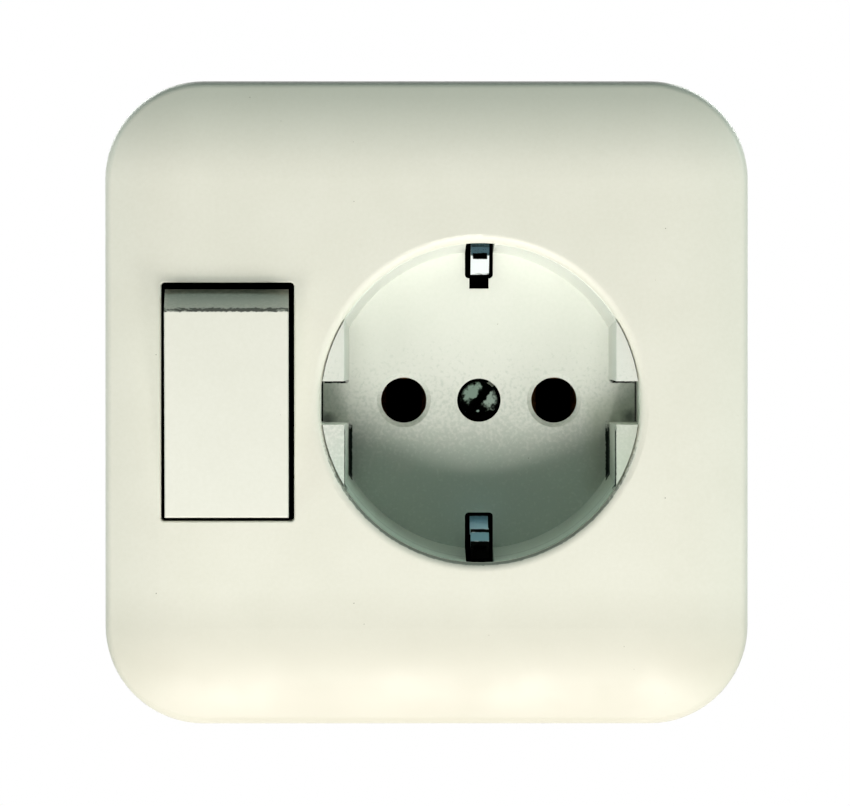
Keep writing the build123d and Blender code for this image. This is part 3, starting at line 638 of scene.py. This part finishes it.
WELL_SOIL_AND_SHADE = (
    # Painted shade over the lower half of the well, which the lower rim shadows, mottled darker in a fine
    # grain
    SoilAndShade(
        (WELL_X_MM, 0.0, -16.5),
        (24.0, 20.0, 9.5),
        "#BEDCCB",
        amount=0.4,
        edge=0.3,
        ragged=0.12,
        grain_mm=3.0,
    ),
    SoilAndShade(
        (WELL_X_MM, 0.0, -13.0),
        (24.0, 20.0, 11.0),
        "#93A99A",
        amount=0.25,
        edge=0.4,
        ragged=0.7,
        grain_mm=0.45,
    ),
    # The lower ear on the right is drawn darker
    SoilAndShade((24.6, 3.0, -5.6), (4.0, 14.0, 5.5), "#B4BFAC", amount=0.55, edge=0.25, grain_mm=3.0),
    # A darker line along the lower wall
    SoilAndShade(
        (WELL_X_MM, -2.6, -16.0),
        (22.0, 0.55, 8.0),
        "#4C6053",
        amount=0.22,
        edge=0.4,
        ragged=0.3,
        grain_mm=0.5,
    ),
    # Painted shade: the sink of the screw is drawn black, with a painted highlight at one spot of its edge
    # where its wall catches the lamps
    painted_black_shade((WELL_X_MM, 9.6, 0.0), (2.95, 1.5, 2.95), reach=Reach.ROUND),
    SoilAndShade((8.15, 9.6, 1.95), (0.5, 0.6, 0.45), "#DDE3D6", ragged=0.3, reach=Reach.ROUND, metallic=0.0),
    # Painted shade: a black slit along the upper edge of each guide notch, and a painted shadow in its
    # lower corner
    painted_black_shade((-11.4, WELL_FLOOR_MM, 2.36), (1.3, 0.4, 0.18), edge=0.2, ragged=0.25),
    painted_black_shade((24.8, WELL_FLOOR_MM, 2.36), (1.3, 0.4, 0.18), edge=0.2, ragged=0.25),
    SoilAndShade(
        (-12.5, WELL_FLOOR_MM, -2.3),
        (0.9, 0.4, 0.7),
        "#22332A",
        amount=0.7,
        edge=0.6,
        ragged=0.2,
        reach=Reach.ROUND,
    ),
    SoilAndShade(
        (25.8, WELL_FLOOR_MM, -2.1),
        (0.9, 0.4, 0.8),
        "#22332A",
        amount=0.7,
        edge=0.6,
        ragged=0.2,
        reach=Reach.ROUND,
    ),
    # Painted shade along the front edge and the foot of each lower ear's inner side, which faces away from
    # the lamps
    SoilAndShade((-10.06, -7.4, -7.0), (0.25, 1.9, 3.7), "#0B1A13", edge=0.1, grain_mm=0.5, roughness=1.0),
    SoilAndShade(
        (-9.62, 7.0, -7.0), (0.3, 1.6, 3.7), "#0B1A13", edge=0.1, ragged=0.15, grain_mm=0.5, roughness=1.0
    ),
    SoilAndShade(
        (23.48, -7.4, -7.0), (0.24, 1.9, 3.7), "#0F1F17", edge=0.1, ragged=0.15, grain_mm=0.5, roughness=1.0
    ),
    SoilAndShade(
        (23.02, 7.0, -7.0), (0.3, 1.6, 3.7), "#0F1F17", edge=0.1, ragged=0.2, grain_mm=0.5, roughness=1.0
    ),
)

ROCKER_PAINTED_SHADE = (
    # Painted shade on the sloping top, which faces away from the lamps, specked and darker towards the gap
    # above it
    SoilAndShade(
        (ROCKER_X_MM, -10.0, 12.85),
        (9.0, 6.0, 0.65),
        "#5F7466",
        amount=0.1,
        edge=0.3,
        ragged=0.7,
        grain_mm=0.5,
    ),
    SoilAndShade(
        (ROCKER_X_MM, -8.0, 14.4),
        (9.0, 6.0, 0.6),
        "#33573F",
        amount=0.42,
        edge=0.6,
        ragged=0.3,
        grain_mm=0.8,
    ),
    # Painted shade: a broken dark line in the crease below the sloping top
    SoilAndShade((ROCKER_X_MM, -13.4, 11.72), (8.0, 1.0, 0.2), "#0E1F17", amount=0.9, edge=0.3, ragged=0.6),
)

OLD_SCREW_PAINTED_LIGHT = (
    # Painted shade: the whole head is drawn black, but for four grey patches that are painted highlights
    # where it catches the lamps
    painted_black_shade((WELL_X_MM, SCREW_HEAD_MM, 0.0), (3.0, 3.0, 3.0)),
    SoilAndShade(
        (5.75, SCREW_HEAD_MM, 0.95),
        (1.35, 0.3, 1.15),
        "#6A7C70",
        edge=0.4,
        ragged=0.6,
        grain_mm=0.5,
        reach=Reach.ROUND,
        roughness=0.45,
    ),
    SoilAndShade(
        (7.95, SCREW_HEAD_MM, 0.15),
        (0.95, 0.3, 0.95),
        "#78877C",
        edge=0.4,
        ragged=0.5,
        grain_mm=0.5,
        reach=Reach.ROUND,
        roughness=0.45,
    ),
    SoilAndShade(
        (6.55, SCREW_HEAD_MM, -1.35),
        (0.2, 0.3, 0.16),
        "#6E8076",
        edge=0.3,
        reach=Reach.ROUND,
        roughness=0.45,
    ),
    SoilAndShade(
        (5.2, SCREW_HEAD_MM, -1.6),
        (0.3, 0.3, 0.22),
        "#6A8088",
        edge=0.3,
        reach=Reach.ROUND,
        roughness=0.45,
    ),
    # Painted shade in the slot and along its frayed edges
    painted_black_shade((WELL_X_MM, SCREW_HEAD_MM, 0.0), (2.6, 1.0, 0.62), edge=0.15, ragged=0.3, turn_deg=53.0),
)

# Painted shade: what shows of the ring through the gaps round the rocker is drawn black
RING_PAINTED_SHADE = (painted_black_shade((-24.8, -1.4, 0.0), (9.4, 0.6, 16.4), ragged=0.02),)

# Painted shade: what shows of the base through the pin holes and the slots of the side contacts is drawn
# black
BASE_PAINTED_SHADE = (
    painted_black_shade((-2.8, 19.8, 0.0), (4.4, 7.6, 4.4), ragged=0.01),
    painted_black_shade((16.2, 19.8, 0.0), (4.4, 7.6, 4.4), ragged=0.01),
    painted_black_shade((WELL_X_MM, 16.0, 17.5), (3.4, 9.0, 4.5), ragged=0.02),
    painted_black_shade((WELL_X_MM, 16.0, -17.5), (3.4, 9.0, 4.5), ragged=0.02),
)

BRACKET_PAINTED_LIGHT = (
    # The upper side contact: a painted highlight across its middle, a painted blue reflection at its tip,
    # and painted black in its window and below
    SoilAndShade(
        (WELL_X_MM, -3.0, 17.2),
        (4.0, 2.3, 1.6),
        "#EEF6FA",
        edge=0.06,
        ragged=0.08,
        roughness=0.5,
        metallic=0.15,
    ),
    SoilAndShade((WELL_X_MM, -6.4, 19.5), (4.0, 1.2, 1.2), "#465F69", edge=0.1),
    painted_black_shade((WELL_X_MM, -5.05, 18.6), (0.9, 0.65, 1.2)),
    SoilAndShade(
        (WELL_X_MM, 6.2, 16.0),
        (4.0, 7.1, 4.0),
        "#020302",
        edge=0.03,
        ragged=0.07,
        grain_mm=1.3,
        roughness=1.0,
    ),
    # The lower side contact: painted blue reflections, and painted shade at its tip, in its fold and at its
    # foot
    SoilAndShade(
        (WELL_X_MM, 4.35, -16.5), (4.0, 5.25, 2.2), "#B2D6E4", edge=0.02, ragged=0.02, roughness=0.5
    ),
    SoilAndShade((WELL_X_MM, -2.5, -17.3), (4.0, 1.0, 2.0), "#6F99A6", edge=0.1, roughness=0.5),
    painted_black_shade((WELL_X_MM, -5.6, -18.8), (4.0, 2.1, 3.0)),
    painted_black_shade((WELL_X_MM, -1.2, -16.8), (4.0, 0.36, 1.5), edge=0.1, ragged=0.2),
    painted_black_shade((WELL_X_MM, 11.5, -14.2), (4.0, 2.05, 2.0), ragged=0.02),
)


class Finish(Enum):
    """The finishes of the socket's pieces."""

    # Urea pressed in a polished mould: an even cream with a soft, waxy gloss
    COVER = MouldedPlastic("cream_urea_cover", "#EEEEE3", "#EAEADE", "#8E8F7E", soils_and_shades=COVER_PAINTED_SHADE)
    # The same urea, cooler and with less gloss where plugs have rubbed it
    WELL = MouldedPlastic(
        "cream_urea_well", "#E7EBE4", "#E2E7DF", "#8E8F7E", ior=1.42, soils_and_shades=WELL_SOIL_AND_SHADE
    )
    # The same urea, drawn a shade greyer
    ROCKER = MouldedPlastic("cream_urea_rocker", "#DFE1D8", "#DBDDD3", "#8E8F7E", soils_and_shades=ROCKER_PAINTED_SHADE)
    # Moulded nylon: a dull white without a clear highlight
    CARRIER = MouldedPlastic("white_nylon_carrier", "#DEDFD6", "#D3D4C9", "#8E8F7E", roughness=0.55)
    # Moulded acetal: a slippery white with a clearer sheen
    PLUNGER = MouldedPlastic("white_acetal_plunger", "#E3E3DC", "#D9D9D0", "#8E8F7E", roughness=0.35)
    # Phenolic pressed with wood flour: nearly black, with brown mottling; its black also stands in for the
    # shade seen down the pin holes
    BASE = MouldedPlastic("black_phenolic_base", "#26231F", "#1D1B18", "#4A463F", soils_and_shades=BASE_PAINTED_SHADE)
    # Steel that has lost its plating: dark grey mottling, and on the head black painted shade with grey
    # painted highlights
    OLD_SCREW = WorkedMetal(
        "blackened_steel_screw", "#6A6C62", "#1C211D", 0.38, stain_mm=0.8, stain=1.0, soils_and_shades=OLD_SCREW_PAINTED_LIGHT
    )
    # Rolled strip, stamped and zinc plated: pale grey with streaks along the strip
    ZINC_SHEET = WorkedMetal("zinc_plated_sheet", "#C9CCCE", "#A3A8AB", 0.34, Lay.ALONG_X, soils_and_shades=RING_PAINTED_SHADE)
    # Headed and plated steel: brighter and more even than the strip
    ZINC_SCREW = WorkedMetal("zinc_plated_screw", "#C4C6C7", "#999C9E", 0.28)
    # Thick plated strip, bent: grey with marks along its length
    ZINC_CLAW = WorkedMetal("zinc_plated_claw", "#BEC2C5", "#999EA2", 0.36, Lay.ALONG_Y)
    # Hard drawn spring steel: smooth, with a narrow highlight along the wire
    SPRING = WorkedMetal("drawn_spring_wire", "#B4B6B8", "#8A8C8E", 0.3)
    # Zinc plating that has aged: a faint yellow cast and less shine
    CLAMP_SCREW = WorkedMetal("zinc_plated_clamp_screw", "#BFC0BC", "#93948E", 0.32)
    # Bronze strip, nickel plated: cool grey with marks along the strip, with painted highlights,
    # reflections and shade on both side contacts
    NICKEL = WorkedMetal(
        "nickel_plated_bronze", "#C6CBD0", "#9AA3AB", 0.3, Lay.ALONG_Z, mark_mm=0.2, soils_and_shades=BRACKET_PAINTED_LIGHT
    )
    # Rolled brass: warm yellow with fine rolling lines
    BRASS_SHEET = WorkedMetal("rolled_brass", "#D9B96A", "#A88544", 0.32, Lay.ALONG_Y)
    # Rolled bronze: redder and darker than the brass
    BRONZE = WorkedMetal("rolled_bronze", "#A8784C", "#6E4A2E", 0.33, Lay.ALONG_Y)
    # Brass turned from the rod: a brighter yellow with even marks
    BRASS_TURNED = WorkedMetal("turned_brass_rod", "#DDBE70", "#AD8A48", 0.26)
    # Fine silver: the whitest metal here, dulled in spots by its spark
    SILVER = WorkedMetal("silver_contact", "#EDEBE4", "#B9B6AC", 0.24)


class Wardrobe:
    """Makes each finish once and puts it on the pieces."""

    def __init__(self, nodes: dict[str, bpy.types.Object]) -> None:
        """Keep the frame's pieces.

        Args:
            nodes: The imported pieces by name.
        """
        self.nodes = nodes
        self.made: dict[Finish, bpy.types.Material] = {}

    def material(self, finish: Finish) -> bpy.types.Material:
        """Give a finish's material, made at its first use.

        Args:
            finish: The finish.

        Returns:
            The one material that all pieces of that finish share.
        """
        if finish not in self.made:
            self.made[finish] = finish.value.build()
        return self.made[finish]

    def dress(self, finish: Finish, *names: str) -> None:
        """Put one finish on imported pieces.

        Args:
            finish: The finish.
            names: Names of the pieces.
        """
        material = self.material(finish)
        for name in names:
            mesh = self.nodes[name].data
            mesh.materials.clear()
            mesh.materials.append(material)
            LOG.info("%s takes %s", name, material.name)

    def dress_new(self, finish: Finish, piece: bpy.types.Object, slot: str) -> None:
        """Put one finish on a piece made here.

        Args:
            finish: The finish.
            piece: The new piece.
            slot: Not used.
        """
        piece.data.materials.append(self.material(finish))
        LOG.info("%s takes %s", piece.name, piece.data.materials[0].name)


def link_mesh(name: str, shape: bmesh.types.BMesh) -> bpy.types.Object:
    """Turn a finished bmesh into an object of the scene.

    Args:
        name: Name of the new piece.
        shape: Its mesh, which is freed here.

    Returns:
        The new object, smooth shaded.
    """
    mesh = bpy.data.meshes.new(name)
    shape.to_mesh(mesh)
    shape.free()
    mesh.polygons.foreach_set("use_smooth", [True] * len(mesh.polygons))
    piece = bpy.data.objects.new(name, mesh)
    bpy.context.scene.collection.objects.link(piece)
    return piece


def close_tube(shape: bmesh.types.BMesh, rows: list[list[bmesh.types.BMVert]]) -> None:
    """Skin the rows of a wound wire or ridge and close both its ends.

    Args:
        shape: Mesh that holds the rows.
        rows: Rings of points in order along the winding.
    """
    sides = len(rows[0])
    for near, far in zip(rows, rows[1:]):
        for index in range(sides):
            following = (index + 1) % sides
            shape.faces.new((near[index], near[following], far[following], far[index]))
    shape.faces.new(rows[0])
    shape.faces.new(tuple(reversed(rows[-1])))
    bmesh.ops.recalc_face_normals(shape, faces=shape.faces[:])


@dataclass
class Cover:
    """The square cover, the plug well that snaps into it, and the screw that holds both."""

    wardrobe: Wardrobe

    def build(self) -> None:
        """Dress the cover, the well and the screw."""
        self.wardrobe.dress(Finish.COVER, "cover_plate")
        self.wardrobe.dress(Finish.WELL, "socket_well")
        self.wardrobe.dress(Finish.OLD_SCREW, "cover_screw")


@dataclass
class Switch:
    """The rocker and the mechanism that it throws, with the coil of its sprung plunger."""

    wardrobe: Wardrobe
    spring_x_mm: float = -23.05
    pivot_y_mm: float = -2.2
    pivot_z_mm: float = 0.15
    lean_deg: float = 9.0
    bore_start_mm: float = 1.4
    plunger_back_mm: float = 3.9
    plunger_travel_mm: float = 1.0
    coil_radius_mm: float = 1.2
    coil_pitch_mm: float = 0.62
    wire_radius_mm: float = 0.2
    steps_per_turn: int = 24
    wire_sides: int = 8

    def build(self) -> None:
        """Dress the rocker and the pieces behind it."""
        self.wardrobe.dress(Finish.ROCKER, "rocker")
        self.wardrobe.dress(Finish.CARRIER, "rocker_carrier")
        self.wardrobe.dress(Finish.ZINC_SCREW, "rocker_axle")
        self.wardrobe.dress(Finish.PLUNGER, "plunger")
        self.wardrobe.dress(Finish.BRASS_SHEET, "contact_seesaw", "contact_strip", "feed_bracket")
        self.wardrobe.dress(Finish.SILVER, "moving_contact", "fixed_contact")
        self.spring()

    def spring(self) -> None:
        """Wind the plunger's spring, between the bottom of its bore and the back of the plunger."""
        lean = math.radians(self.lean_deg)
        along = Vector((0.0, math.cos(lean), math.sin(lean)))
        across = Vector((0.0, -math.sin(lean), math.cos(lean)))
        sideways = Vector((1.0, 0.0, 0.0))
        pivot = Vector((self.spring_x_mm, self.pivot_y_mm, self.pivot_z_mm))
        length = self.plunger_back_mm - self.bore_start_mm
        rise = length - 2.0 * self.wire_radius_mm
        steps = round(rise / self.coil_pitch_mm * self.steps_per_turn)
        shape = bmesh.new()
        rows = []
        for step in range(steps + 1):
            angle = 2.0 * math.pi * step / self.steps_per_turn
            outward = sideways * math.cos(angle) + across * math.sin(angle)
            depth = self.bore_start_mm + self.wire_radius_mm + rise * step / steps
            middle = pivot + along * depth + outward * self.coil_radius_mm
            row = []
            for side in range(self.wire_sides):
                turn = 2.0 * math.pi * side / self.wire_sides
                edge = outward * math.cos(turn) + along * math.sin(turn)
                row.append(shape.verts.new((middle + edge * self.wire_radius_mm) * MILLIMETRE))
            rows.append(row)
        close_tube(shape, rows)
        spring = link_mesh("coil_spring", shape)
        self.wardrobe.dress_new(Finish.SPRING, spring, "spring_steel")
        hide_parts("plunger_spring")
        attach(spring, "rocker")
        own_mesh(spring)


@dataclass
class Outlet:
    """The earth bracket, the sleeves for the pins and the terminals."""

    wardrobe: Wardrobe

    def build(self) -> None:
        """Dress the live pieces and the earth pieces."""
        self.wardrobe.dress(Finish.NICKEL, "earth_bracket")
        self.wardrobe.dress(Finish.BRONZE, "line_contact", "neutral_contact")
        self.wardrobe.dress(
            Finish.BRASS_TURNED,
            "threaded_bush",
            "line_terminal",
            "neutral_terminal",
            "earth_terminal",
            "feed_terminal",
            "switched_terminal",
        )
        self.wardrobe.dress(Finish.CLAMP_SCREW, "terminal_screws")


@dataclass
class Insert:
    """The insulating base, the support ring and the spreading claws with their threaded screws."""

    wardrobe: Wardrobe
    claw_x_mm: float = -9.0
    claw_screw_z_mm: float = 22.9
    shank_radius_mm: float = 1.45
    thread_sunk_mm: float = 0.05
    thread_height_mm: float = 0.16
    thread_pitch_mm: float = 0.7
    foot_share_of_pitch: float = 0.45
    thread_front_mm: float = 0.6
    thread_back_mm: float = 24.6
    steps_per_turn: int = 20
    run_out_steps: int = 6
    least_crest: float = 0.05

    def build(self) -> None:
        """Dress the base, the ring, the claws and the screws, and thread the claw screws."""
        self.wardrobe.dress(Finish.BASE, "insert_base")
        self.wardrobe.dress(Finish.ZINC_SHEET, "support_ring")
        self.wardrobe.dress(Finish.ZINC_SCREW, "ring_screws", "claw_screws")
        self.wardrobe.dress(Finish.ZINC_CLAW, "claw_upper", "claw_lower")
        for name, side in (("thread_upper", 1.0), ("thread_lower", -1.0)):
            thread = self.thread(name, side * self.claw_screw_z_mm)
            self.wardrobe.dress_new(Finish.ZINC_SCREW, thread, "screw_steel")
            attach(thread, "insert")

    def thread(self, name: str, z_mm: float) -> bpy.types.Object:
        """Wind the ridge of one screw thread round the shank of a claw screw.

        Args:
            name: Name of the new piece.
            z_mm: Height of the screw's axis on the wall.

        Returns:
            A closed ridge of triangular section, running back from the ring.
        """
        shape = bmesh.new()
        length = self.thread_back_mm - self.thread_front_mm
        steps = round(length / self.thread_pitch_mm * self.steps_per_turn)
        foot = self.foot_share_of_pitch * self.thread_pitch_mm
        root = self.shank_radius_mm - self.thread_sunk_mm
        rows = []
        for step in range(steps + 1):
            turn = step / self.steps_per_turn
            angle = 2.0 * math.pi * turn
            depth = self.thread_front_mm + turn * self.thread_pitch_mm
            full = min(1.0, step / self.run_out_steps, (steps - step) / self.run_out_steps)
            crest = self.shank_radius_mm + self.thread_height_mm * max(full, self.least_crest)
            row = []
            for radius, shift in ((root, -foot), (crest, 0.0), (root, foot)):
                across = self.claw_x_mm + radius * math.cos(angle)
                height = z_mm + radius * math.sin(angle)
                row.append(shape.verts.new(Vector((across, depth + shift, height)) * MILLIMETRE))
            rows.append(row)
        close_tube(shape, rows)
        return link_mesh(name, shape)


@dataclass(frozen=True)
class Lamp:
    """One soft lamp that faces the socket.

    Its place is an angle to the right of straight ahead and an angle above the socket.
    """

    name: str
    sideways_deg: float
    up_deg: float
    size_m: tuple[float, float]
    watts: float
    colour: str = "#FFFFFF"

    def hang(self, distance_m: float) -> None:
        """Hang the lamp in the scene.

        Args:
            distance_m: How far from the socket it hangs.
        """
        data = bpy.data.lights.new(self.name, "AREA")
        data.color = to_linear(self.colour)[:3]
        data.shape = "RECTANGLE"
        data.size, data.size_y = self.size_m
        data.energy = self.watts
        lamp = bpy.data.objects.new(self.name, data)
        sideways = math.radians(self.sideways_deg)
        up = math.radians(self.up_deg)
        level = math.cos(up)
        aim = Vector((math.sin(sideways) * level, -math.cos(sideways) * level, math.sin(up)))
        lamp.location = aim * distance_m
        lamp.rotation_euler = (-aim).to_track_quat("-Z", "Y").to_euler()
        bpy.context.scene.collection.objects.link(lamp)


WARM_WHITE = "#FFFAF4"
COOL_WHITE = "#E6FFF6"

LAMPS = (
    # The face is lit from below, as in the photograph
    Lamp("key_lamp", 0.0, -39.0, (0.25, 0.16), 3.3, WARM_WHITE),
    Lamp("low_lamp_right", 30.0, -43.0, (0.15, 0.15), 0.95, WARM_WHITE),
    Lamp("low_lamp_left", -30.0, -43.0, (0.15, 0.15), 0.95, WARM_WHITE),
    # Two lamps graze it from the sides, the right one stronger
    Lamp("side_lamp_right", 75.0, 20.0, (0.15, 0.15), 1.35, COOL_WHITE),
    Lamp("side_lamp_left", -75.0, 20.0, (0.15, 0.15), 0.9, COOL_WHITE),
    # Two more are there for the back
    Lamp("back_lamp_right", 145.0, 30.0, (0.4, 0.4), 3.0),
    Lamp("back_lamp_left", -145.0, 30.0, (0.4, 0.4), 3.0),
)


@dataclass
class Studio:
    """Camera, lamps, floor and surroundings."""

    pixels_per_mm: float = 7.95
    image_width: int = 850
    camera_distance_m: float = 1.5
    camera_x_mm: float = -9.0
    camera_z_mm: float = 31.0
    aim_mm: tuple[float, float, float] = (-0.19, -4.0, -0.10)
    nearest_m: float = 0.05
    farthest_m: float = 50.0
    lamp_distance_m: float = 0.7
    floor_z_m: float = -0.6
    floor_size_m: float = 5.0
    floor_colour: str = "#E4E4E0"
    floor_roughness: float = 0.8
    floor_white: float = 0.82
    fill_colour: str = "#D8FAEC"
    fill_strength: float = 0.04

    def build(self) -> None:
        """Make the camera, the lamps, the floor and the world."""
        self.camera()
        for lamp in LAMPS:
            lamp.hang(self.lamp_distance_m)
        self.floor()
        self.world()
        bpy.context.scene.view_settings.view_transform = "Standard"

    def camera(self) -> None:
        """Set the long lens nearly square to the face, a little above and to the left of it."""
        data = bpy.data.cameras.new("camera")
        field_m = self.image_width / self.pixels_per_mm * MILLIMETRE
        data.sensor_fit = "HORIZONTAL"
        data.lens = data.sensor_width * self.camera_distance_m / field_m
        data.clip_start = self.nearest_m
        data.clip_end = self.farthest_m
        camera = bpy.data.objects.new("camera", data)
        place = Vector((self.camera_x_mm, 0.0, self.camera_z_mm)) * MILLIMETRE
        place.y -= self.camera_distance_m
        aim = Vector(self.aim_mm) * MILLIMETRE
        camera.location = place
        camera.rotation_euler = (aim - place).to_track_quat("-Z", "Y").to_euler()
        bpy.context.scene.collection.objects.link(camera)
        bpy.context.scene.camera = camera

    def floor(self) -> None:
        """Lay a pale floor well below the socket, white where metal reflects it."""
        shape = bmesh.new()
        half = self.floor_size_m / 2.0
        corners = [(-half, -half), (half, -half), (half, half), (-half, half)]
        shape.faces.new([shape.verts.new((x, y, self.floor_z_m)) for x, y in corners])
        floor = link_mesh("floor", shape)
        material, tree = new_material("painted_floor")
        shader = add_node(
            tree,
            "ShaderNodeBsdfPrincipled",
            inputs={"Base Color": to_linear(self.floor_colour), "Roughness": self.floor_roughness},
        )
        path = add_node(tree, "ShaderNodeLightPath")
        mirrored = add_node(
            tree,
            "ShaderNodeMath",
            {"operation": "MAXIMUM"},
            {0: path.outputs["Is Glossy Ray"], 1: path.outputs["Is Transmission Ray"]},
        )
        # Seen straight, the floor is a little short of white, so that a shadow on it still shows
        seen = add_node(
            tree,
            "ShaderNodeMath",
            {"operation": "MULTIPLY_ADD"},
            {0: path.outputs["Is Camera Ray"], 1: self.floor_white, 2: mirrored.outputs[0]},
        )
        white = add_node(
            tree, "ShaderNodeEmission", inputs={"Color": to_linear("#FFFFFF"), "Strength": seen.outputs[0]}
        )
        both = add_node(tree, "ShaderNodeAddShader", inputs={0: shader.outputs[0], 1: white.outputs[0]})
        add_node(tree, "ShaderNodeOutputMaterial", inputs={"Surface": both.outputs[0]})
        floor.data.materials.append(material)

    def world(self) -> None:
        """Fill in weakly from all round, with white where the camera or a reflection looks out."""
        world = bpy.data.worlds.new("surroundings")
        world.use_nodes = True
        tree = world.node_tree
        tree.nodes.clear()
        path = add_node(tree, "ShaderNodeLightPath")
        seen = add_node(
            tree,
            "ShaderNodeMath",
            {"operation": "MAXIMUM"},
            {0: path.outputs["Is Camera Ray"], 1: path.outputs["Is Glossy Ray"]},
        )
        plain = add_node(
            tree,
            "ShaderNodeMath",
            {"operation": "MAXIMUM"},
            {0: seen.outputs[0], 1: path.outputs["Is Transmission Ray"]},
        )
        fill = add_node(
            tree,
            "ShaderNodeBackground",
            inputs={"Color": to_linear(self.fill_colour), "Strength": self.fill_strength},
        )
        white = add_node(
            tree, "ShaderNodeBackground", inputs={"Color": to_linear("#FFFFFF"), "Strength": 1.0}
        )
        mix = add_node(
            tree,
            "ShaderNodeMixShader",
            inputs={0: plain.outputs[0], 1: fill.outputs[0], 2: white.outputs[0]},
        )
        add_node(tree, "ShaderNodeOutputWorld", inputs={"Surface": mix.outputs[0]})
        bpy.context.scene.world = world


def main() -> None:
    """Load the frame, dress each sub-assembly in order, and set the studio."""
    logging.basicConfig(level=logging.INFO, format="%(message)s")
    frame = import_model()
    wardrobe = Wardrobe(frame["nodes"])
    for sub_assembly in (Cover(wardrobe), Switch(wardrobe), Outlet(wardrobe), Insert(wardrobe)):
        sub_assembly.build()
    Studio().build()


if __name__ == "__main__":
    main()
